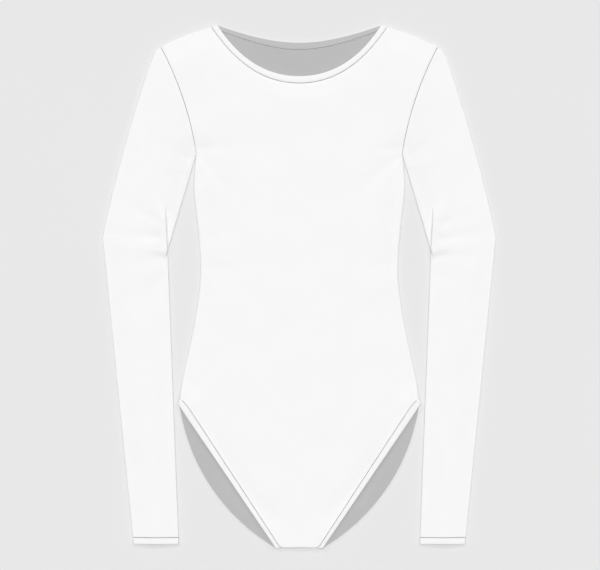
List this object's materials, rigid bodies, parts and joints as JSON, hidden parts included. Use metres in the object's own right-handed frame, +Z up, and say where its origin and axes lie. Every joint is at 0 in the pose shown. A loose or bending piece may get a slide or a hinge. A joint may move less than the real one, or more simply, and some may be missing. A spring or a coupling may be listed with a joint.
{
  "type": "long-sleeve leotard laid flat",
  "caption": "Long-sleeve leotard with a round neck, fitted waist and high-cut legs, bound at neck, legs and cuffs, laid flat on its back.",
  "frame": {"origin": "under the middle of the garment's outline, on the surface that it lies on", "axes": "+X towards the wearer's left side, +Y from the crotch to the neck, +Z up, out of the garment's front"},
  "size_m": [0.526, 0.7016, 0.0066],
  "materials": {
    "jersey": "matte",
    "binding": "matte"
  },
  "bodies": {
    "root": {"front_panel": "jersey", "back_panel": "jersey", "sleeve_left": "jersey", "sleeve_right": "jersey", "neck_band": "binding", "leg_band_left": "binding", "leg_band_right": "binding", "cuff_band_left": "binding", "cuff_band_right": "binding"}
  },
  "joints": []
}
